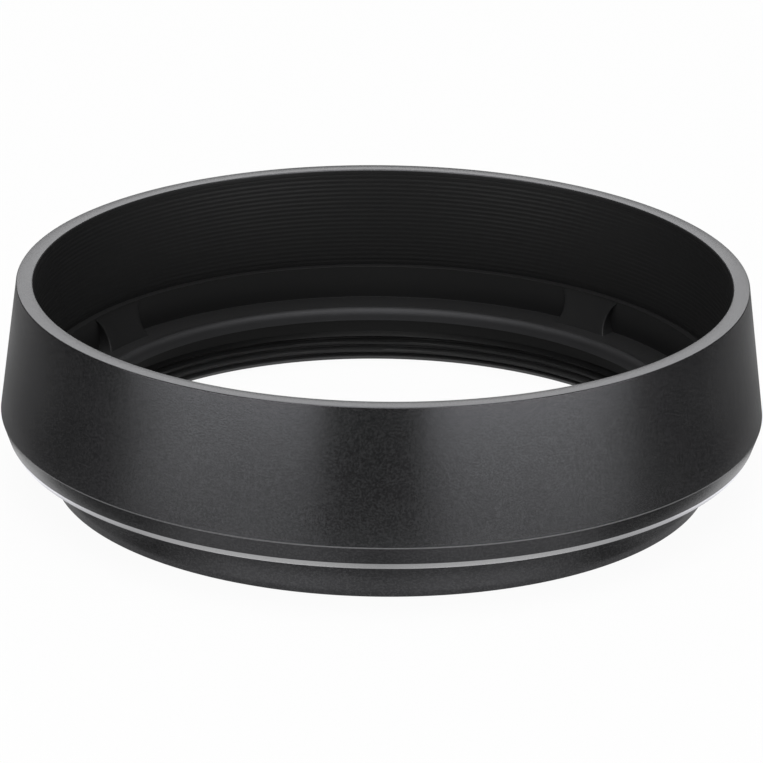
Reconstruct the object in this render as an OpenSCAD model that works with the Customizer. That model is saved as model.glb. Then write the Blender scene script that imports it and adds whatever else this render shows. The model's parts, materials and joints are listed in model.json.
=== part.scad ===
// Screw-on lens hood: a conical casing with a ridged liner that turns on a threaded mount ring.
// Z is the lens axis, z = 0 is the bottom face of the mount ring, and +Z points to the front rim.
// Sizes are in millimetres. Radii grow outwards from the thread and heights grow up from z = 0.

/* [Mount ring] */
// Nominal diameter of the thread that takes the lens
thread_d = 52; // [40:0.5:77]
// Pitch of that thread
thread_pitch = 0.75; // [0.5:0.05:1]
// Length of the threaded stretch
thread_len = 2.3; // [1.5:0.1:2.8]
// Wall of the collar outside the thread
collar_wall = 1.43; // [1:0.01:2.5]
// Height of the collar that stands below the hood
collar_h = 3.4; // [3.2:0.1:8]
// Edge break around the bottom of the collar
collar_edge = 0.05; // [0.05:0.05:0.6]
// Reach of the lip inside the thread
lip_reach = 1.15; // [0.8:0.05:3]
// Thickness of the lip
lip_t = 1.04; // [1:0.01:1.6]
// Rounding of the lip's upper edge
lip_round = 0.5; // [0.1:0.05:0.5]
// Reach of the flange outside the collar
flange_reach = 1.92; // [1.5:0.01:4]
// Thickness of the flange
flange_t = 0.74; // [0.5:0.01:1.5]
// Height of the wall that rises from the ledge to the liner
wall_h = 2.89; // [2:0.01:5]
// Thickness of that wall
wall_t = 1.05; // [0.8:0.05:1.5]
// Step back of the wall from the edge of the flange
wall_inset = 0.1; // [0.05:0.05:0.3]

/* [Ears on the mount ring] */
// How far the ears stop below the top of the wall
ear_drop = 0.04; // [0.02:0.01:0.2]
// Depth of an ear at its foot, inside the wall
ear_depth = 1.4; // [0.8:0.05:1.8]
// Width of an ear at its top
ear_top_w = 6.2; // [5:0.1:10]
// Width of an ear at its waist
ear_waist = 4.7; // [3:0.1:6]
// Height of the waist above the ledge
ear_waist_h = 1.1; // [0.6:0.1:1.5]
// Straight land on each flank, under the ear's top corner
ear_land = 0.1; // [0.05:0.05:0.3]
// Direction midway between the two ears at the back
ear_bearing = 97.4; // [0:0.1:180]
// Angle between those two ears
ear_spread = 95.8; // [60:0.1:120]

/* [Running fits] */
// Radial gap between the mount ring and the hood that turns on it
turn_gap = 0.15; // [0.1:0.01:0.3]
// Axial gap above the wall and below the flange
float_gap = 0.05; // [0.04:0.01:0.2]
// Radial gap that the thread or the bond fills between pieces of the hood
bond_gap = 0.03; // [0.02:0.01:0.08]

/* [Ring stack inside the hood] */
// Thickness of the retaining ring
retain_t = 0.65; // [0.6:0.05:2]
// How far the retaining ring stands below the casing
retain_drop = 0.5; // [0.2:0.05:0.5]
// Width of the spanner slots in the retaining ring
slot_w = 1.2; // [0.8:0.1:2.5]
// Depth of the spanner slots
slot_depth = 0.35; // [0.2:0.05:0.5]
// Thickness of the spring washer on the retaining ring
washer_t = 0.15; // [0.1:0.01:0.4]
// Thickness of the slip ring between that washer and the flange
slip_t = 0.15; // [0.1:0.01:0.4]

/* [Ridged liner] */
// Length of the liner
liner_h = 8.35; // [5:0.05:30]
// Wall of the liner at the crests of its ridges
liner_wall = 0.62; // [0.5:0.01:1.5]
// Pitch of the ridges
ridge_pitch = 0.4; // [0.3:0.05:0.8]
// Depth of the grooves between ridges
ridge_depth = 0.2; // [0.1:0.01:0.35]
// Flat on the crest of each ridge
ridge_crest = 0.1; // [0.05:0.01:0.15]
// Flat on the floor of each groove
ridge_floor = 0.06; // [0.04:0.01:0.1]

/* [Casing] */
// Thickness of the front rim over the liner
rim_t = 0.47; // [0.3:0.01:1.5]
// Wall of the casing at the front rim, outside the liner
rim_wall = 0.75; // [0.4:0.05:2]
// How much the cone widens from the rim to its foot
flare = 1.45; // [0.5:0.05:6]
// Height of the skirt band below the foot of the cone
skirt_h = 1.5; // [0.8:0.1:4]
// How much the skirt band draws in
skirt_inset = 0.5; // [0.2:0.05:0.8]
// Height of the bevel under the skirt
bevel_h = 0.5; // [0.2:0.05:1]
// How much the bevel draws in
bevel_inset = 0.25; // [0.1:0.05:0.5]

/* [Hidden] */
$fn = 180;

// Metric thread form: depth, crest flat, root flat and flank, as shares of the pitch
thread_depth = 0.5413 * thread_pitch;
thread_crest = thread_pitch / 4;
thread_root = thread_pitch / 8;
thread_flank = (thread_pitch - thread_crest - thread_root) / 2;
thread_turns = floor(thread_len / thread_pitch);

// Radii, from the thread outwards
thread_r = thread_d / 2;
crest_thread_r = thread_r - thread_depth;
lip_r = thread_r - lip_reach;
collar_r = thread_r + collar_wall;
collar_bore_r = collar_r + turn_gap;
flange_r = collar_r + flange_reach;
wall_out_r = flange_r - wall_inset;
wall_r = wall_out_r - wall_t;
casing_bore_r = flange_r + turn_gap;
stack_r = casing_bore_r - bond_gap;
crest_r = stack_r - liner_wall;
rim_r = casing_bore_r + rim_wall;
foot_r = rim_r + flare;
skirt_r = foot_r - skirt_inset;
bevel_r = skirt_r - bevel_inset;

// Heights, from the bottom of the collar up
retain_z = collar_h;
washer_z = retain_z + retain_t;
slip_z = washer_z + washer_t;
flange_z = slip_z + slip_t + float_gap;
ledge_z = flange_z + flange_t;
lip_z = ledge_z - lip_t;
wall_z = ledge_z + wall_h;
liner_z = wall_z + float_gap;
liner_top_z = liner_z + liner_h;
rim_z = liner_top_z + rim_t;
under_z = collar_h + retain_drop;
skirt_z = under_z + bevel_h;
foot_z = skirt_z + skirt_h;

// Ears: two at the back and two opposite them, each a ramp from the ledge up the inside of the wall
ear_angles = [for (turn = [0, 180], side = [-1, 1]) ear_bearing + side * ear_spread / 2 + turn];
ear_h = wall_h - ear_drop;
ear_foot_r = wall_r - ear_depth;
// The part of an ear that is rooted in the flange below it and in the wall behind it
ear_root = flange_t / 2;
ear_back = wall_t / 2;
// Each flank is hollowed by a round cutter through the waist and the lower end of the land
flank_in = (ear_top_w - ear_waist) / 2;
flank_up = ear_h - ear_land - ear_waist_h;
flank_r = (pow(flank_up, 2) + pow(flank_in, 2)) / (2 * flank_in);

// Ridges are shared out evenly over the liner, with a plain band at both ends
ridge_count = floor(liner_h / ridge_pitch);
ridge_start = liner_z + (liner_h - ridge_count * ridge_pitch) / 2;
ridge_flank = (ridge_pitch - ridge_crest - ridge_floor) / 2;

anodised_black = "#2a2a2c";
turned_black = "#333335";
matt_black = "#1c1c1d";
spring_steel = "#8f8f8c";
slip_polymer = "#d8d4c8";

// A plain flat ring
module flat_ring(inner_r, outer_r, z, thickness) {
    rotate_extrude()
        translate([inner_r, z])
            square([outer_r - inner_r, thickness]);
}

// Thread grooves as a chain of points up the bore, from the lead-in to the relief under the lip
function thread_points() = [
    for (turn = [0 : thread_turns - 1])
        let (z = thread_depth + turn * thread_pitch)
            each [
                [crest_thread_r, z],
                [crest_thread_r, z + thread_crest],
                [thread_r, z + thread_crest + thread_flank],
                [thread_r, z + thread_crest + thread_flank + thread_root]
            ]
];

// Ridges as a chain of points down the inside of the liner
function ridge_points() = [
    for (ridge = [ridge_count - 1 : -1 : 0])
        let (z = ridge_start + ridge * ridge_pitch)
            each [
                [crest_r, z + ridge_pitch - ridge_crest / 2],
                [crest_r + ridge_depth, z + ridge_pitch - ridge_crest / 2 - ridge_flank],
                [crest_r + ridge_depth, z + ridge_crest / 2 + ridge_flank],
                [crest_r, z + ridge_crest / 2]
            ]
];

// One ear at angle 0: a ramp with hollow flanks
module ear() {
    difference() {
        intersection() {
            rotate_extrude()
                polygon([
                    [ear_foot_r, ledge_z - ear_root],
                    [ear_foot_r, ledge_z],
                    [wall_r, ledge_z + ear_h],
                    [wall_r + ear_back, ledge_z + ear_h],
                    [wall_r + ear_back, ledge_z - ear_root]
                ]);
            translate([lip_r, -ear_top_w / 2, 0])
                cube([flange_r - lip_r, ear_top_w, rim_z]);
        }
        for (side = [-1, 1])
            translate([lip_r, side * (ear_waist / 2 + flank_r), ledge_z + ear_waist_h])
                rotate([0, 90, 0])
                    cylinder(r = flank_r, h = flange_r - lip_r);
    }
}

module mount_ring() {
    color(turned_black) {
        rotate_extrude() {
            polygon(concat(
                [[thread_r, 0]],
                thread_points(),
                [
                    [thread_r, lip_z],
                    [lip_r, lip_z],
                    [lip_r, ledge_z - lip_round],
                    [lip_r + lip_round, ledge_z],
                    [wall_r, ledge_z],
                    [wall_r, wall_z],
                    [wall_out_r, wall_z],
                    [wall_out_r, ledge_z],
                    [flange_r, ledge_z],
                    [flange_r, flange_z],
                    [collar_r, flange_z],
                    [collar_r, collar_edge],
                    [collar_r - collar_edge, 0]
                ]
            ));
            translate([lip_r + lip_round, ledge_z - lip_round])
                circle(r = lip_round);
        }
        for (angle = ear_angles)
            rotate([0, 0, angle])
                ear();
    }
}

module casing() {
    color(anodised_black)
        rotate_extrude()
            polygon([
                [casing_bore_r, under_z],
                [bevel_r, under_z],
                [skirt_r, skirt_z],
                [foot_r, foot_z],
                [rim_r, rim_z],
                [crest_r, rim_z],
                [crest_r, liner_top_z],
                [casing_bore_r, liner_top_z]
            ]);
}

module ridged_liner() {
    color(matt_black)
        rotate_extrude()
            polygon(concat(
                [[stack_r, liner_z], [stack_r, liner_top_z], [crest_r, liner_top_z]],
                ridge_points(),
                [[crest_r, liner_z]]
            ));
}

module spring_washer() {
    color(spring_steel)
        flat_ring(collar_bore_r, stack_r, washer_z, washer_t);
}

module slip_ring() {
    color(slip_polymer)
        flat_ring(collar_bore_r, stack_r, slip_z, slip_t);
}

// Closes the stack from below, and has two slots for a pin spanner
module retaining_ring() {
    color(turned_black)
        difference() {
            flat_ring(collar_bore_r, stack_r, retain_z, retain_t);
            translate([-foot_r, -slot_w / 2, retain_z - slot_depth])
                cube([2 * foot_r, slot_w, 2 * slot_depth]);
        }
}

mount_ring();
casing();
ridged_liner();
spring_washer();
slip_ring();
retaining_ring();
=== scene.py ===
import json
import bpy
import numpy as np
from mathutils import Matrix, Vector

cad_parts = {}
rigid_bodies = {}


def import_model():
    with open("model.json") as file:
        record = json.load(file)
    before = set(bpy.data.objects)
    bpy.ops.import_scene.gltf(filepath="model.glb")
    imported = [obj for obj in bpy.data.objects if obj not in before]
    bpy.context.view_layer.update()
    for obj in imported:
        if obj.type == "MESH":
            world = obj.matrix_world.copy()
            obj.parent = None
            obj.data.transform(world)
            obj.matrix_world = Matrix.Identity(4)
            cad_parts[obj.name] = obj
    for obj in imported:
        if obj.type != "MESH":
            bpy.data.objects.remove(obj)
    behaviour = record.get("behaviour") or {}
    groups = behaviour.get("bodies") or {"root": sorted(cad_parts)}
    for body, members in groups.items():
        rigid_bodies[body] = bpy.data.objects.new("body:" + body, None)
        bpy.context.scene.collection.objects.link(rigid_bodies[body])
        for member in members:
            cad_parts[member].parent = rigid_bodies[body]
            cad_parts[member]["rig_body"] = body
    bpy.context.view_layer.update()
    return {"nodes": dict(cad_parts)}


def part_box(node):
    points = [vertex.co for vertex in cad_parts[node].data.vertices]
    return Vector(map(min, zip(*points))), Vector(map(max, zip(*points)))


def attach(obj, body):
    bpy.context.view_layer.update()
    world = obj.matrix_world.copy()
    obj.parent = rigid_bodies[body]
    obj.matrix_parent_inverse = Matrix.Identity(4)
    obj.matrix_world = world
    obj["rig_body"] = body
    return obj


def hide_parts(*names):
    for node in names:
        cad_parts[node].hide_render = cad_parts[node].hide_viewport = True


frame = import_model()
mm = 0.001  # sizes of pieces, finishes and cards are in millimetres
print("frame loaded:", ", ".join(sorted(frame["nodes"])))


# outer radius, lowest and highest point of a turned node, in millimetres
def turnedSize(node):
    low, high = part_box(node)
    return high.x / mm, low.z / mm, high.z / mm


# surfaces: closed outlines in (radius, height), carried round the lens axis

# each corner (radius, height, fillet) becomes an arc that is tangent to both of its sides
def filletCorners(corners, steps=6):
    corner = np.array(corners, float)
    point, fillet = corner[:, :2], corner[:, 2:]
    toBefore = np.roll(point, 1, axis=0) - point
    toAfter = np.roll(point, -1, axis=0) - point
    toBefore /= np.linalg.norm(toBefore, axis=1, keepdims=True)
    toAfter /= np.linalg.norm(toAfter, axis=1, keepdims=True)
    halfAngle = 0.5 * np.arccos((toBefore * toAfter).sum(axis=1, keepdims=True))
    bisector = toBefore + toAfter
    bisector /= np.linalg.norm(bisector, axis=1, keepdims=True)
    centre = point + bisector * fillet / np.sin(halfAngle)
    cut = fillet / np.tan(halfAngle)
    start = point + toBefore * cut - centre
    end = point + toAfter * cut - centre
    sweep = (np.pi - 2 * halfAngle)[:, :, None]
    share = np.linspace(0, 1, steps)[None, :, None]
    startWeight = np.sin((1 - share) * sweep) / np.sin(sweep)
    endWeight = np.sin(share * sweep) / np.sin(sweep)
    return centre[:, None] + startWeight * start[:, None] + endWeight * end[:, None]


# the four rounded corners of a flat ring
def flatRingArcs(bore, outer, bottom, top, edge, steps):
    return filletCorners([(bore, bottom, edge), (outer, bottom, edge),
                          (outer, top, edge), (bore, top, edge)], steps)


# x = r cos a, y = r sin a, z as given; the arrays are rows of the outline by columns round the axis
def roundTheAxis(radius, angle, height):
    radius, angle, height = np.broadcast_arrays(radius, angle, height)
    return np.stack([radius * np.cos(angle), radius * np.sin(angle), height], axis=-1)


# every point of the outline goes once round the axis, in equal steps of angle
def turnOutline(outline, columns):
    angle = np.linspace(0, 2 * np.pi, columns, endpoint=False)
    return roundTheAxis(outline[:, :1], angle[None, :], outline[:, 1:])


# rows evenly spaced between two points of an outline, without the points themselves
def rowsBetween(start, end, count):
    share = np.linspace(0, 1, count + 2)[1:-1, None]
    return np.asarray(start) * (1 - share) + np.asarray(end) * share


# a grid that closes on itself both ways becomes quads that point outwards
def ringPiece(name, grid, node, rowMarks=None, sharpAngle=38):
    rows, columns = grid.shape[:2]
    index = np.arange(rows * columns).reshape(rows, columns)
    right = np.roll(index, -1, axis=1)
    below = np.roll(index, -1, axis=0)
    belowRight = np.roll(right, -1, axis=0)
    quads = np.stack([index, right, belowRight, below], axis=-1).reshape(-1, 4)
    points = grid.reshape(-1, 3) * mm
    a, b, c, d = (points[quads[:, k]] for k in range(4))
    volume = (a * (np.cross(b, c) + np.cross(c, d))).sum()
    if volume < 0:
        quads = quads[:, ::-1]
    mesh = bpy.data.meshes.new(name)
    mesh.from_pydata(points, [], quads)
    mesh.shade_smooth()
    mesh.set_sharp_from_angle(angle=np.radians(sharpAngle))
    for markName, perRow in (rowMarks or {}).items():
        attribute = mesh.attributes.new(markName, "FLOAT", "POINT")
        attribute.data.foreach_set("value", np.repeat(perRow, columns).astype(np.float32))
    piece = bpy.data.objects.new(name, mesh)
    bpy.context.scene.collection.objects.link(piece)
    weighted = piece.modifiers.new("faceWeights", "WEIGHTED_NORMAL")
    weighted.keep_sharp = True
    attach(piece, frame["nodes"][node]["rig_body"])
    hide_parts(node)
    print(f"{name}: {rows} rows by {columns} columns")
    return piece


# shader maths: a Wire is a socket, and an expression on Wires adds its Math nodes
class Wire:
    def __init__(self, tree, socket=None):
        self.tree = tree
        self.socket = socket

    def plug(self, socket, value):
        if isinstance(value, Wire):
            self.tree.links.new(value.socket, socket)
        else:
            socket.default_value = value

    def add(self, kind, settings=None, sockets=None, out=0):
        node = self.tree.nodes.new(kind)
        for key, value in (settings or {}).items():
            setattr(node, key, value)
        for key, value in (sockets or {}).items():
            self.plug(node.inputs[key], value)
        return Wire(self.tree, node.outputs[out] if node.outputs else None)

    # another output of the node that this Wire comes from
    def output(self, key):
        return Wire(self.tree, self.socket.node.outputs[key])

    def maths(self, operation, first, second):
        return self.add("ShaderNodeMath", {"operation": operation}, {0: first, 1: second})

    def __add__(self, other):
        return self.maths("ADD", self, other)

    def __radd__(self, other):
        return self.maths("ADD", other, self)

    def __sub__(self, other):
        return self.maths("SUBTRACT", self, other)

    def __rsub__(self, other):
        return self.maths("SUBTRACT", other, self)

    def __mul__(self, other):
        return self.maths("MULTIPLY", self, other)

    def __rmul__(self, other):
        return self.maths("MULTIPLY", other, self)

    def __pow__(self, other):
        return self.maths("POWER", self, other)


def newMaterial(name):
    material = bpy.data.materials.new(name)
    material.use_nodes = True
    material.node_tree.nodes.clear()
    return material, Wire(material.node_tree)


# ends a material: constants go straight onto the shader's sockets, varying values are Wires
def finishSurface(make, shader, sockets):
    surface = make.add(shader, {}, sockets)
    make.add("ShaderNodeOutputMaterial", {}, {"Surface": surface})


def objectPlace(make):
    return make.add("ShaderNodeTexCoord", {}, {}, out="Object")


def meshMark(make, name):
    return make.add("ShaderNodeAttribute", {"attribute_name": name}, {}, out="Fac")


def noiseAt(make, vector, size, detail=2.0, roughness=0.5):
    return make.add("ShaderNodeTexNoise", {"noise_dimensions": "3D"}, {
        "Vector": vector, "Scale": 1 / (size * mm), "Detail": detail, "Roughness": roughness})


# fine grain, and the same grain cut to specks that run from 0 to 1
def grainAndSpecks(make, finish):
    grain = noiseAt(make, objectPlace(make), finish["grain"], detail=1.0, roughness=0.6)
    specks = make.add("ShaderNodeMapRange", {"clamp": True}, {
        "Value": grain, "From Min": finish["speckLow"], "From Max": finish["speckHigh"]})
    return grain, specks


# two colours, each a triple or a Wire
def mixColours(make, share, first, second):
    first, second = (colour if isinstance(colour, Wire) else (*colour, 1) for colour in (first, second))
    return make.add("ShaderNodeMix", {"data_type": "RGBA"}, {"Factor": share, 6: first, 7: second}, out=2)


def bumpFrom(make, height, depth, strength=1.0):
    return make.add("ShaderNodeBump", {}, {"Height": height, "Distance": depth * mm, "Strength": strength})


# radius and height, plus a small share of the place itself: lines that run round the axis and slowly vary
def latheCoordinates(make, stretch):
    place = objectPlace(make)
    split = make.add("ShaderNodeSeparateXYZ", {}, {"Vector": place})
    x, y, z = (split.output(axis) for axis in "XYZ")
    radius = (x * x + y * y) ** 0.5
    along = make.add("ShaderNodeVectorMath", {"operation": "SCALE"}, {0: place, "Scale": stretch})
    across = make.add("ShaderNodeCombineXYZ", {}, {"X": radius, "Y": 0.0, "Z": z})
    return make.add("ShaderNodeVectorMath", {"operation": "ADD"}, {0: along, 1: across})


blastedFinish = {
    "dark": (0.002, 0.002, 0.0021), "pale": (0.0155, 0.0155, 0.0158),
    "grain": 0.15, "grainDepth": 0.003, "speckLow": 0.45, "speckHigh": 0.60, "pits": 0.10,
    "mottle": 5.0, "mottleShare": 0.2, "mottleRoughness": 0.02, "roughness": 0.24, "roughSpread": 0.04,
    "ior": 1.85, "sheen": (0.95, 0.95, 1, 1),
    "cutColour": (0.92, 0.92, 0.93), "cutRoughness": 0.24, "edgeHighlightColour": (0.10, 0.10, 0.101),
}


# bead-blasted black anodising, with the bright-cut bevel marked row by row on the mesh, and a painted
# highlight, a paler colour, on the rows of the cone's foot edge
def blastedBlack():
    material, make = newMaterial("blastedBlack")
    finish = blastedFinish
    grain, specks = grainAndSpecks(make, finish)
    mottle = noiseAt(make, objectPlace(make), finish["mottle"])
    bright = meshMark(make, "brightCut")
    edgeHighlight = meshMark(make, "paintedEdgeHighlight")
    shade = specks * (1 - finish["mottleShare"]) + mottle * finish["mottleShare"]
    skin = mixColours(make, shade, finish["dark"], finish["pale"])
    # painted highlight: the foot edge's marked rows take the paler colour
    highlightedSkin = mixColours(make, edgeHighlight, skin, finish["edgeHighlightColour"])
    colour = mixColours(make, bright, highlightedSkin, finish["cutColour"])
    skinRoughness = (finish["roughness"] + (grain - 0.5) * finish["roughSpread"]
                     + (mottle - 0.5) * finish["mottleRoughness"])
    roughness = skinRoughness * (1 - bright) + bright * finish["cutRoughness"]
    bump = bumpFrom(make, grain * (1 - bright), finish["grainDepth"])
    pits = (1 - specks) * finish["pits"]  # the blasted pits mirror less than the skin between them
    finishSurface(make, "ShaderNodeBsdfPrincipled", {
        "Base Color": colour, "Roughness": roughness, "Metallic": bright + pits * (1 - bright),
        "Normal": bump, "IOR": finish["ior"], "Specular Tint": finish["sheen"]})
    return material


turnedFinish = {
    "dark": (0.003, 0.003, 0.0031), "pale": (0.027, 0.027, 0.0275),
    "grain": 0.17, "speckLow": 0.45, "speckHigh": 0.60, "pits": 0.10,
    "line": 0.05, "stretch": 0.02, "mottle": 3.0, "mottleRoughness": 0.08,
    "fleckShare": 0.6, "lineShare": 0.2, "mottleShare": 0.2, "grainBump": 0.7, "lineBump": 0.3,
    "textureDepth": 0.006, "roughness": 0.28, "roughSpread": 0.14, "satin": 0.30,
    "ior": 1.6, "sheen": (0.95, 0.95, 1, 1),
}


# fine-turned black anodising: the tool's lines run round the axis under a fine grain, and the lip is satin
def turnedBlack():
    material, make = newMaterial("turnedBlack")
    finish = turnedFinish
    lines = noiseAt(make, latheCoordinates(make, finish["stretch"]), finish["line"],
                    detail=3.0, roughness=0.65)
    mottle = noiseAt(make, objectPlace(make), finish["mottle"])
    grain, specks = grainAndSpecks(make, finish)
    satin = meshMark(make, "satinLip")
    fleck = specks * (1 - satin) + satin * 0.5
    shade = fleck * finish["fleckShare"] + lines * finish["lineShare"] + mottle * finish["mottleShare"]
    colour = mixColours(make, shade, finish["dark"], finish["pale"])
    roughness = (finish["roughness"] + satin * finish["satin"] + (lines - 0.5) * finish["roughSpread"]
                 + (mottle - 0.5) * finish["mottleRoughness"])
    texture = grain * (1 - satin) * finish["grainBump"] + lines * finish["lineBump"]
    finishSurface(make, "ShaderNodeBsdfPrincipled", {
        "Base Color": colour, "Roughness": roughness, "Metallic": (1 - fleck) * finish["pits"],
        "Normal": bumpFrom(make, texture, finish["textureDepth"]),
        "IOR": finish["ior"], "Specular Tint": finish["sheen"]})
    return material


mattFinish = {
    "dark": (0.0035, 0.0035, 0.0036), "pale": (0.0085, 0.0085, 0.0088), "paintedLightColour": (0.045, 0.045, 0.046),
    "line": 0.08, "stretch": 0.03, "lineShare": 0.5, "lineDepth": 0.004, "lineStrength": 0.10,
    "dust": 0.3, "roughness": 0.48, "roughSpread": 0.12, "ior": 1.40,
}


# matt black inside of the hood, with faint tool lines, and painted light, a paler colour, where the mesh
# marks it
def mattBlack():
    material, make = newMaterial("mattBlack")
    finish = mattFinish
    lines = noiseAt(make, latheCoordinates(make, finish["stretch"]), finish["line"])
    dust = noiseAt(make, objectPlace(make), finish["dust"], roughness=0.6)
    shade = lines * finish["lineShare"] + dust * (1 - finish["lineShare"])
    paint = mixColours(make, shade, finish["dark"], finish["pale"])
    finishSurface(make, "ShaderNodeBsdfPrincipled", {
        # painted light: rows marked on the mesh take the paler colour
        "Base Color": mixColours(make, meshMark(make, "paintedLight"), paint, finish["paintedLightColour"]),
        "Roughness": finish["roughness"] + (dust - 0.5) * finish["roughSpread"],
        "Normal": bumpFrom(make, lines, finish["lineDepth"], finish["lineStrength"]),
        "IOR": finish["ior"]})
    return material


springFinish = {"dark": (0.05, 0.05, 0.052), "pale": (0.13, 0.13, 0.128), "line": 0.06, "stretch": 0.02,
                "roughness": 0.38, "roughSpread": 0.15, "metal": 0.8}


# blackened spring steel with rolling marks
def springSteel():
    material, make = newMaterial("springSteel")
    finish = springFinish
    lines = noiseAt(make, latheCoordinates(make, finish["stretch"]), finish["line"], detail=3.0)
    finishSurface(make, "ShaderNodeBsdfPrincipled", {
        "Base Color": mixColours(make, lines, finish["dark"], finish["pale"]),
        "Roughness": finish["roughness"] + (lines - 0.5) * finish["roughSpread"],
        "Metallic": finish["metal"]})
    return material


slipFinish = {"dark": (0.60, 0.58, 0.52), "pale": (0.74, 0.72, 0.66), "cloud": 2.0,
              "roughness": 0.45, "roughSpread": 0.2}


# waxy slip polymer, slightly clouded
def slipPolymer():
    material, make = newMaterial("slipPolymer")
    finish = slipFinish
    cloud = noiseAt(make, objectPlace(make), finish["cloud"], detail=3.0)
    finishSurface(make, "ShaderNodeBsdfPrincipled", {
        "Base Color": mixColours(make, cloud, finish["dark"], finish["pale"]),
        "Roughness": finish["roughness"] + (cloud - 0.5) * finish["roughSpread"]})
    return material


# one finish, or two that are shared out by rows of the outline
def dress(piece, *materials, finishRows=None):
    piece.data.materials.clear()
    for material in materials:
        piece.data.materials.append(material)
    if finishRows is not None:
        columns = len(piece.data.polygons) // len(finishRows)
        piece.data.polygons.foreach_set("material_index", np.repeat(finishRows, columns).astype(np.int32))


blasted, turned, matt = blastedBlack(), turnedBlack(), mattBlack()
spring, slip = springSteel(), slipPolymer()
print("finishes ready")

# casing: the cone with its flat rim, skirt band and bright bevel
casing = {
    "columns": 480, "rimRadius": 30.25, "rimBore": 28.85, "bore": 29.50,
    "skirtHeight": 1.5, "skirtInset": 0.5, "bevelHeight": 0.5, "bevelInset": 0.25,
    "rimEdge": 0.08, "innerEdge": 0.15, "footEdge": 0.30, "bevelEdge": 0.04, "plainEdge": 0.05,
}
footRadius, underZ, rimZ = turnedSize("casing")
linerRadius, linerZ, linerTopZ = turnedSize("ridged_liner")
skirtZ = underZ + casing["bevelHeight"]
skirtRadius = footRadius - casing["skirtInset"]
casingArcs = filletCorners([
    (casing["bore"], underZ, casing["plainEdge"]),
    (skirtRadius - casing["bevelInset"], underZ, casing["bevelEdge"]),
    (skirtRadius, skirtZ, casing["bevelEdge"]),
    (footRadius, skirtZ + casing["skirtHeight"], casing["footEdge"]),
    (casing["rimRadius"], rimZ, casing["rimEdge"]),
    (casing["rimBore"], rimZ, casing["innerEdge"]),
    (casing["rimBore"], linerTopZ, casing["plainEdge"]),
    (casing["bore"], linerTopZ, casing["plainEdge"]),
])
arcCount, arcSteps = casingArcs.shape[:2]
# the bevel between arcs 1 and 2 is cut bright, and the foot of the cone, arc 3, gets a painted highlight: a
# paler colour
cutRows = np.zeros((arcCount, arcSteps))
cutRows[1, 1:] = 1
cutRows[2, :-1] = 1
edgeHighlightRows = np.zeros((arcCount, arcSteps))
edgeHighlightRows[3, 1:-1] = 1
casingPiece = ringPiece("casing_shell", turnOutline(casingArcs.reshape(-1, 2), casing["columns"]),
                        "casing",
                        {"brightCut": cutRows.ravel(), "paintedEdgeHighlight": edgeHighlightRows.ravel()}, sharpAngle=60)
# the inside of the rim is as matt as the liner below it
insideRows = np.zeros((arcCount, arcSteps), bool)
insideRows[5, arcSteps // 2:] = True
insideRows[6] = True
dress(casingPiece, blasted, matt, finishRows=insideRows.ravel())

# liner: a sleeve whose inside is a row of soft ridges; seat lowers its end to close the joint line
liner = {"columns": 480, "crest": 28.85, "pitch": 0.40, "depth": 0.03, "pointsPerRidge": 8, "edge": 0.03,
         "seat": 0.04, "edgePaintedLight": 0.4}
ridgeCount = int((linerTopZ - linerZ) / liner["pitch"] + 1e-6)
ridgeStart = linerZ + (linerTopZ - linerZ - ridgeCount * liner["pitch"]) / 2
# radius follows one cosine per pitch, deepest midway between two crests, from the top down
ridgeStep = np.arange(ridgeCount * liner["pointsPerRidge"], -1, -1) / liner["pointsPerRidge"]
ridgeGroove = 0.5 - 0.5 * np.cos(2 * np.pi * ridgeStep)
ridgeRows = np.stack([liner["crest"] + liner["depth"] * ridgeGroove,
                      ridgeStart + liner["pitch"] * ridgeStep], axis=-1)
linerArcs = flatRingArcs(liner["crest"], linerRadius, linerZ - liner["seat"], linerTopZ,
                         liner["edge"], steps=4)
linerOutline = np.concatenate([linerArcs.reshape(-1, 2), ridgeRows])
# painted light, a paler colour, on its lower inner corner, against the shade in its joint with the mount
# ring
linerPaintedLight = np.zeros(len(linerOutline))
linerPaintedLight[:linerArcs.shape[1]] = liner["edgePaintedLight"]
linerPiece = ringPiece("ridged_sleeve", turnOutline(linerOutline, liner["columns"]),
                       "ridged_liner", {"paintedLight": linerPaintedLight})
dress(linerPiece, matt)

# mount ring: collar, thread, lip, ledge and wall in one turned outline, with four ramped ears on the wall
mount = {
    "threadRadius": 26.0, "pitch": 0.75, "threadPhase": 0.98, "threadTop": 2.75, "threadRows": 46,
    "crestFlat": 0.25, "rootFlat": 0.125, "depthShare": 0.5413,  # metric form, as shares of the pitch
    "fadeStart": 2.20, "fadeLength": 0.50, "collarRadius": 27.43, "collarEdge": 0.05,
    "lipRadius": 24.85, "lipThickness": 1.04, "lipRound": 0.65, "flangeThickness": 0.74,
    "wallHeight": 2.89, "wallThickness": 1.05, "wallInset": 0.10, "wallRows": 24, "ledgeRows": 10,
    # painted light: shares of the paler colour on the wall's top face, wall, corner and ledge
    "topFacePaintedLight": 0.28, "wallPaintedLight": 0.10, "cornerPaintedLight": 0.28, "ledgePaintedLight": 0.36,
    "softEdge": 0.06, "sharpEdge": 0.03, "wallEdge": 0.03, "cornerRound": 0.02, "columnsBetweenEars": 84,
}
ears = {
    "bearing": 97.4, "spread": 95.8, "drop": 0.04, "depth": 1.40, "topWidth": 6.2, "waist": 4.7,
    "waistHeight": 1.1, "land": 0.10, "edge": 0.12, "footGap": 0.04, "faceColumns": 13,
}
flangeRadius, _, wallZ = turnedSize("mount_ring")
ledgeZ = wallZ - mount["wallHeight"]
lipZ = ledgeZ - mount["lipThickness"]
flangeZ = ledgeZ - mount["flangeThickness"]
wallOut = flangeRadius - mount["wallInset"]
wallIn = wallOut - mount["wallThickness"]
threadDepth = mount["depthShare"] * mount["pitch"]
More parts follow.
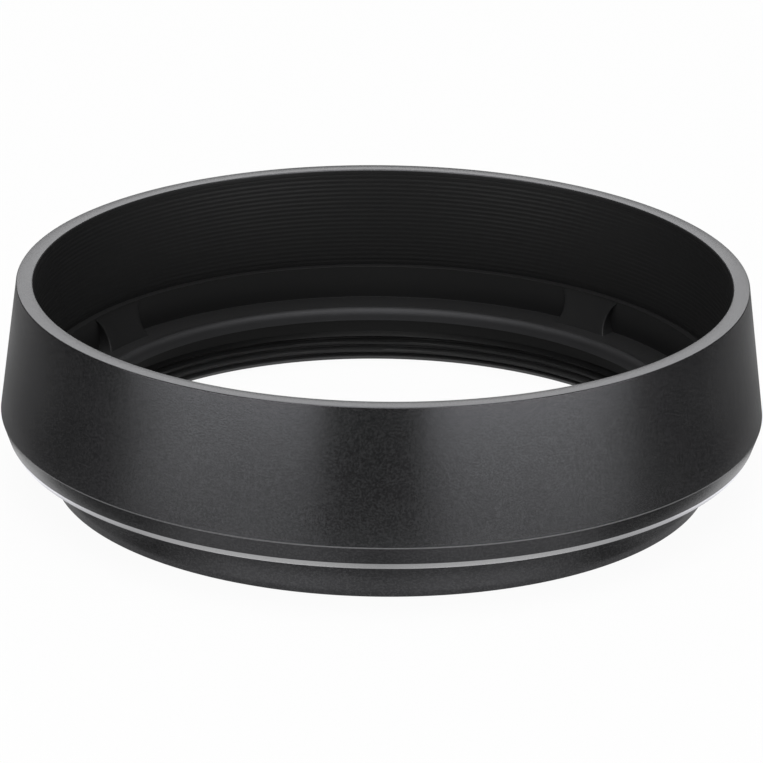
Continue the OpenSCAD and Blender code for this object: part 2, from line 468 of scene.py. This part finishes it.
mountArcs = filletCorners([
    (mount["threadRadius"], 0, mount["softEdge"]),
    (mount["threadRadius"] - threadDepth, threadDepth, mount["softEdge"]),
    (mount["threadRadius"], lipZ, mount["softEdge"]),
    (mount["lipRadius"], lipZ, mount["sharpEdge"]),
    (mount["lipRadius"], ledgeZ, mount["lipRound"]),
    (wallIn, ledgeZ, mount["cornerRound"]),
    (wallIn, wallZ, mount["wallEdge"]),
    (wallOut, wallZ, mount["softEdge"]),
    (wallOut, ledgeZ, mount["sharpEdge"]),
    (flangeRadius, ledgeZ, mount["sharpEdge"]),
    (flangeRadius, flangeZ, mount["softEdge"]),
    (mount["collarRadius"], flangeZ, mount["softEdge"]),
    (mount["collarRadius"], mount["collarEdge"], mount["sharpEdge"]),
    (mount["collarRadius"] - mount["collarEdge"], 0, mount["sharpEdge"]),
], steps=8)
leadIn, lip, corner, outside = (mountArcs[k].reshape(-1, 2)
                                for k in (slice(0, 2), slice(2, 5), slice(5, 6), slice(6, 14)))
threadRows = rowsBetween(leadIn[-1] + (threadDepth, 0),
                         (mount["threadRadius"], mount["threadTop"]), mount["threadRows"])
ledgeRows = rowsBetween(lip[-1], corner[0], mount["ledgeRows"])
wallRows = rowsBetween(corner[-1], outside[0], mount["wallRows"])
mountOutline = np.concatenate([leadIn, threadRows, lip, ledgeRows, corner, wallRows, outside])
rowRadius, rowHeight = mountOutline[:, :1], mountOutline[:, 1:]
ledgeFirst = len(leadIn) + len(threadRows) + len(lip)
cornerFirst = ledgeFirst + len(ledgeRows)
outsideFirst = cornerFirst + len(corner) + len(wallRows)

# an ear's face is a ramp from the ledge to the wall's top, and the ledge's rows draw in to its foot
earHeight = mount["wallHeight"] - ears["drop"]
earFoot = wallIn - ears["depth"]
rise = np.clip(rowHeight - ledgeZ, 0, earHeight)
rampRadius = np.minimum(earFoot + ears["depth"] * rise / earHeight, rowRadius)
earRadius = rowRadius.copy()
earRadius[ledgeFirst:cornerFirst] = rowsBetween(lip[-1, :1], [earFoot], mount["ledgeRows"])
earRadius[cornerFirst:outsideFirst] = rampRadius[cornerFirst:outsideFirst]
# half the width of an ear at each height: each flank is an arc through the waist and the land
flankIn = (ears["topWidth"] - ears["waist"]) / 2
flankUp = earHeight - ears["land"] - ears["waistHeight"]
flankRadius = (flankUp ** 2 + flankIn ** 2) / (2 * flankIn)
fromWaist = np.minimum(rise - ears["waistHeight"], flankUp)
halfWidth = ears["waist"] / 2 + flankRadius - np.sqrt(flankRadius ** 2 - fromWaist ** 2)
# the edge between face and flank is a quarter round, where the ear is deep enough for it
edgeRound = np.where(rise > 0, np.clip((rowRadius - earRadius) * 0.5, 0, ears["edge"]), 0)
edgeTurn = np.radians([[30, 60, 90]])
roundAcross = halfWidth - edgeRound * (1 - np.sin(edgeTurn))
roundRadius = earRadius + edgeRound * (1 - np.cos(edgeTurn))
faceAcross = (halfWidth - edgeRound) * np.linspace(-1, 1, ears["faceColumns"])[None, :]
faceRadius = np.repeat(earRadius, ears["faceColumns"], axis=1)
footAcross = halfWidth + ears["footGap"]
acrossEar = np.concatenate(
    [-footAcross, -roundAcross[:, ::-1], faceAcross, roundAcross, footAcross], axis=1)
acrossRadius = np.concatenate(
    [rowRadius, roundRadius[:, ::-1], faceRadius, roundRadius, rowRadius], axis=1)
earTurn = np.arcsin(acrossEar / acrossRadius)

# columns: across each ear in turn, then evenly on to the next one
earAngles = np.radians(ears["bearing"] + np.array([-0.5, 0.5]) * ears["spread"])
earAngles = np.sort(np.concatenate([earAngles, earAngles + np.pi]))
betweenShare = np.linspace(0, 1, mount["columnsBetweenEars"] + 2)[None, 1:-1]
betweenRadius = np.repeat(rowRadius, mount["columnsBetweenEars"], axis=1)
angleParts, radiusParts = [], []
for earAngle, nextEar in zip(earAngles, np.append(earAngles[1:], earAngles[0] + 2 * np.pi)):
    gapStart = earAngle + earTurn[:, -1:]
    gapEnd = nextEar + earTurn[:, :1]
    angleParts += [earAngle + earTurn, gapStart + (gapEnd - gapStart) * betweenShare]
    radiusParts += [acrossRadius, betweenRadius]
mountAngle = np.concatenate(angleParts, axis=1)
mountRadius = np.concatenate(radiusParts, axis=1)

# a right-hand thread: flat crest and root with straight flanks between them, faded out at its top
threadSpan = slice(len(leadIn), len(leadIn) + len(threadRows))
threadHeight = rowHeight[threadSpan]
turnsUp = threadHeight / mount["pitch"] - mountAngle[threadSpan] / (2 * np.pi) - mount["threadPhase"]
turnShare = np.mod(turnsUp, 1)
flankShare = (1 - mount["crestFlat"] - mount["rootFlat"]) / 2
groove = np.clip((np.minimum(turnShare, 1 - turnShare) - mount["crestFlat"] / 2) / flankShare, 0, 1)
groove = np.maximum(groove, np.clip((threadHeight - mount["fadeStart"]) / mount["fadeLength"], 0, 1))
leadInShare = np.clip((threadHeight - leadIn[-1, 1]) / mount["softEdge"], 0, 1)
mountRadius[threadSpan] += threadDepth * (groove * leadInShare - 1)
# the inside is matt up to the wall's top edge, apart from the satin lip; painted light, a paler colour,
# lies on the thread's mouth (light from the floor below), on the ledge (brighter towards the lip), down the
# wall (brighter towards the corner) and on the wall's top face
rowNumber = np.arange(len(mountOutline))
arcRows = mountArcs.shape[1]
topFace = outsideFirst + arcRows
satinRows = (rowNumber >= ledgeFirst - 2 * arcRows) & (rowNumber < ledgeFirst)
mattRows = (rowNumber < topFace) & ~satinRows
paintedLightRows = np.clip(1 - rowHeight[:, 0] / mount["fadeStart"], 0, 1) * (rowNumber < threadSpan.stop)
paintedLightRows[ledgeFirst - 1:cornerFirst] = np.linspace(
    mount["ledgePaintedLight"], mount["cornerPaintedLight"], len(ledgeRows) + 1)
paintedLightRows[cornerFirst:outsideFirst] = np.linspace(
    mount["cornerPaintedLight"], mount["wallPaintedLight"], outsideFirst - cornerFirst)
paintedLightRows[topFace - 1:topFace + 1] = mount["topFacePaintedLight"]
mountPiece = ringPiece("mount_collar", roundTheAxis(mountRadius, mountAngle, rowHeight),
                       "mount_ring", {"satinLip": satinRows, "paintedLight": paintedLightRows})
dress(mountPiece, turned, matt, finishRows=mattRows)

# spring washer and slip ring: thin flat rings between the retaining ring and the flange
thinRings = {
    "spring_washer": {"bore": 27.58, "edge": 0.03, "columns": 360, "piece": "thrust_spring",
                      "slot": "spring_steel", "finish": spring},
    "slip_ring": {"bore": 27.58, "edge": 0.03, "columns": 360, "piece": "slip_washer",
                  "slot": "slip_polymer", "finish": slip},
}
for node, thin in thinRings.items():
    outer, bottom, top = turnedSize(node)
    thinOutline = flatRingArcs(thin["bore"], outer, bottom, top, thin["edge"], steps=4).reshape(-1, 2)
    thinPiece = ringPiece(thin["piece"], turnOutline(thinOutline, thin["columns"]), node)
    dress(thinPiece, thin["finish"])

# retaining ring: a flat ring with two spanner slots across its underside
retaining = {"bore": 27.58, "edge": 0.06, "slotWidth": 1.2, "slotDepth": 0.35, "slotColumns": 9,
             "wallDraft": 0.02, "columnsBetweenSlots": 200}
outer, bottom, top = turnedSize("retaining_ring")
retainOutline = flatRingArcs(retaining["bore"], outer, bottom, top,
                             retaining["edge"], steps=6).reshape(-1, 2)
halfSlot = retaining["slotWidth"] / 2
slotAcross = np.linspace(-halfSlot, halfSlot, retaining["slotColumns"])
slotWall = halfSlot + retaining["wallDraft"]
slotAcross = np.concatenate([[-slotWall], slotAcross, [slotWall]])
slotTurn = np.arcsin(slotAcross[None, :] / retainOutline[:, :1])
gapShare = np.linspace(0, 1, retaining["columnsBetweenSlots"] + 2)[None, 1:-1]
gapTurn = slotTurn[:, -1:] + (np.pi - 2 * slotTurn[:, -1:]) * gapShare
halfTurn = np.concatenate([slotTurn, gapTurn], axis=1)
retainAngle = np.concatenate([halfTurn, halfTurn + np.pi], axis=1)
inSlot = np.concatenate([np.abs(slotAcross) <= halfSlot + 1e-6,
                         np.zeros(retaining["columnsBetweenSlots"], bool)])
slotHeight = np.maximum(retainOutline[:, 1:], bottom + retaining["slotDepth"])
retainHeight = np.where(np.tile(inSlot, 2)[None, :], slotHeight, retainOutline[:, 1:])
retainPiece = ringPiece("retainer", roundTheAxis(retainOutline[:, :1], retainAngle, retainHeight),
                        "retaining_ring")
dress(retainPiece, turned)

# stage: a plain white floor that keeps the shadow, in metres
stage = {"floorSize": 3.0, "drop": 0.00002, "floorColour": (0.90, 0.90, 0.90), "whiteToCamera": 0.95,
         "whiteToGloss": 0.52, "ambient": 0.18, "skyToGloss": 0.15}


def stageSheet(name, points, quads, material):
    mesh = bpy.data.meshes.new(name)
    mesh.from_pydata(points, [], quads)
    mesh.materials.append(material)
    sheet = bpy.data.objects.new(name, mesh)
    bpy.context.scene.collection.objects.link(sheet)
    return sheet


# which rays see the background as plain white: camera rays, and glossy or transmission rays
def backgroundRays(make):
    path = make.add("ShaderNodeLightPath")
    mirrored = make.maths("MAXIMUM", path.output("Is Glossy Ray"), path.output("Is Transmission Ray"))
    return path.output("Is Camera Ray"), mirrored


def whiteGlow(make):
    return make.add("ShaderNodeEmission", {}, {"Color": (1, 1, 1, 1), "Strength": 1.0})


paleFloor, make = newMaterial("paleFloor")
seen, mirrored = backgroundRays(make)
paper = make.add("ShaderNodeBsdfDiffuse", {}, {"Color": (*stage["floorColour"], 1)})
whiteShare = seen * stage["whiteToCamera"] + mirrored * stage["whiteToGloss"]
finishSurface(make, "ShaderNodeMixShader", {0: whiteShare, 1: paper, 2: whiteGlow(make)})
half = stage["floorSize"] / 2
floorCorners = [(x * half, y * half, -stage["drop"]) for x, y in ((-1, -1), (1, -1), (1, 1), (-1, 1))]
stageSheet("floor", floorCorners, [(0, 1, 2, 3)], paleFloor)

world = bpy.data.worlds.new("studio")
bpy.context.scene.world = world
world.use_nodes = True
world.cycles.sampling_method = "NONE"
world.node_tree.nodes.clear()
make = Wire(world.node_tree)
seen, mirrored = backgroundRays(make)
strength = (seen * (1 - stage["ambient"]) + mirrored * (stage["skyToGloss"] - stage["ambient"])
            + stage["ambient"])
sky = make.add("ShaderNodeBackground", {}, {"Color": (1, 1, 1, 1), "Strength": strength})
make.add("ShaderNodeOutputWorld", {}, {"Surface": sky})

# grey cards that glow, seen only in the hood's gloss as painted reflections, where 1 is white; azimuth is
# measured from the camera's side, to the right, and stops are (azimuth to either side, grey)
cardLift = 0.2  # height of the flat cards over the floor
cardColumns = 181
allRound = (-180, 180)
cardWall = [(90.0, cardLift), (90.0, 30.0)]


def flatCard(inner, outer):
    return [(inner, cardLift), (outer, cardLift)]


cards = {
    "cardBore": {"profile": flatCard(0.5, 25.0), "span": allRound, "stops": [
        (0, 0.5), (60, 0.45), (120, 0.2), (150, 0.24), (180, 0.45)]},
    "cardCollar": {"profile": flatCard(28.0, 31.0), "span": allRound, "stops": [
        (0, 0.7), (12, 1.0), (25, 0.95), (44, 0.10), (55, 0.34), (66, 0.22),
        (78, 1.0), (90, 1.0), (105, 0.12)]},
    "cardBevel": {"profile": flatCard(31.0, 33.2), "span": allRound, "stops": [
        (0, 0.26), (10, 0.32), (20, 0.34), (32, 0.34), (43, 0.36), (55, 0.50),
        (66, 1.0), (90, 1.0), (105, 0.12)]},
    "cardSkirt": {"profile": flatCard(33.2, 38.0), "span": allRound, "stops": [
        (0, 0.23), (12, 0.45), (32, 0.42), (43, 0.10), (55, 0.05), (66, 0.12),
        (75, 0.65), (88, 0.24), (105, 0.12)]},
    "cardFoot": {"profile": flatCard(38.0, 46.0), "span": allRound, "stops": [
        (0, 0.7), (30, 0.7), (50, 0.5), (70, 0.35), (100, 0.22), (120, 0.25), (130, 0.35)]},
    "cardBehind": {"profile": flatCard(46.0, 60.0), "span": allRound, "stops": [
        (0, 0.7), (28, 0.6), (45, 0.12), (60, 0.05), (85, 0.06), (97, 0.15),
        (108, 0.20), (118, 0.25), (130, 0.35)]},
    "cardTable": {"profile": flatCard(60.0, 150.0), "span": allRound, "stops": [
        (0, 0.12), (22, 0.12), (35, 0.25), (50, 0.5), (58, 0.4), (65, 0.05), (85, 0.05),
        (95, 0.15), (108, 0.20), (120, 0.25)]},
    "cardFront": {"profile": cardWall, "span": (-14, 10), "stops": [(0, 0.10)]},
    "cardRight": {"profile": cardWall, "span": (68, 172), "stops": [(68, 0.02), (110, 0.05), (172, 0.6)]},
    "cardLeft": {"profile": cardWall, "span": (-172, -69), "stops": [(68, 0.02), (110, 0.05), (172, 0.6)]},
}
cardGrey, make = newMaterial("cardGrey")
black = make.add("ShaderNodeBsdfDiffuse", {}, {"Color": (0, 0, 0, 1)})
finishSurface(make, "ShaderNodeMixShader", {0: meshMark(make, "grey"), 1: black, 2: whiteGlow(make)})
for name, card in cards.items():
    profile, stops = np.array(card["profile"]), np.array(card["stops"])
    azimuth = np.linspace(*card["span"], cardColumns)
    grid = roundTheAxis(profile[:, :1], np.radians(azimuth - 90)[None, :], profile[:, 1:])
    index = np.arange(grid.shape[0] * grid.shape[1]).reshape(grid.shape[:2])
    quads = np.stack([index[:-1, :-1], index[:-1, 1:], index[1:, 1:], index[1:, :-1]], axis=-1)
    sheet = stageSheet(name, grid.reshape(-1, 3) * mm, quads.reshape(-1, 4), cardGrey)
    grey = np.tile(np.interp(np.abs(azimuth), stops[:, 0], stops[:, 1]), len(profile))
    shade = sheet.data.attributes.new("grey", "FLOAT", "POINT")
    shade.data.foreach_set("value", grey.astype(np.float32))
    sheet.visible_camera = sheet.visible_diffuse = sheet.visible_shadow = False
    sheet.visible_transmission = sheet.visible_volume_scatter = False

# soft boxes, in metres: radiance 1 is paper white
softBoxes = {
    "softBoxLeft": {"azimuth": -58, "elevation": 3.7, "distance": 0.45,
                    "width": 0.74, "height": 0.12, "radiance": 3.9},
    "softBoxRight": {"azimuth": 57, "elevation": 3.7, "distance": 0.45,
                     "width": 0.78, "height": 0.12, "radiance": 4.7},
    "softBoxTop": {"azimuth": 0, "elevation": 84, "distance": 0.8,
                   "width": 0.75, "height": 0.75, "radiance": 2.3},
    "softBoxFront": {"azimuth": 0, "elevation": 40, "distance": 0.8,
                     "width": 0.45, "height": 0.45, "radiance": 2.2},
    "softBoxBack": {"azimuth": 180, "elevation": 31, "distance": 0.8,
                    "width": 0.36, "height": 0.40, "radiance": 1.65},
}
aim = Vector((0, 0, 0.5 * rimZ * mm))
for name, box in softBoxes.items():
    azimuth, elevation = np.radians(box["azimuth"]), np.radians(box["elevation"])
    away = Vector((np.sin(azimuth) * np.cos(elevation), -np.cos(azimuth) * np.cos(elevation),
                   np.sin(elevation)))
    lamp = bpy.data.lights.new(name, "AREA")
    lamp.shape = "RECTANGLE"
    lamp.size, lamp.size_y = box["width"], box["height"]
    lamp.energy = np.pi * box["width"] * box["height"] * box["radiance"]
    lampObject = bpy.data.objects.new(name, lamp)
    lampObject.location = aim + away * box["distance"]
    lampObject.rotation_euler = away.to_track_quat("Z", "Y").to_euler()
    lampObject.visible_camera = False
    bpy.context.scene.collection.objects.link(lampObject)
print("stage and lights ready")

# camera: a long lens, looking down at the hood; distances in millimetres
cameraView = {"elevation": 20.654, "roll": 0.686, "distance": 352.98, "aimRight": 0.05, "aimUp": 7.13,
              "lens": 198.12, "sensor": 36.0}
tilt, roll = np.radians(cameraView["elevation"]), np.radians(cameraView["roll"])
back = np.array([0, -np.cos(tilt), np.sin(tilt)])
level, upright = np.array([1.0, 0, 0]), np.array([0, np.sin(tilt), np.cos(tilt)])
right = np.cos(roll) * level + np.sin(roll) * upright
up = np.cos(roll) * upright - np.sin(roll) * level
cameraData = bpy.data.cameras.new("camera")
cameraData.lens = cameraView["lens"]
cameraData.sensor_width = cameraView["sensor"]
cameraData.clip_start, cameraData.clip_end = 0.01, 20
camera = bpy.data.objects.new("camera", cameraData)
place = (cameraView["distance"] * back + cameraView["aimRight"] * right + cameraView["aimUp"] * up) * mm
turn = np.eye(4)
turn[:3, :3] = np.stack([right, up, back], axis=1)
turn[:3, 3] = place
camera.matrix_world = Matrix(turn.tolist())
bpy.context.scene.collection.objects.link(camera)
bpy.context.scene.camera = camera
bpy.context.scene.view_settings.view_transform = "Standard"
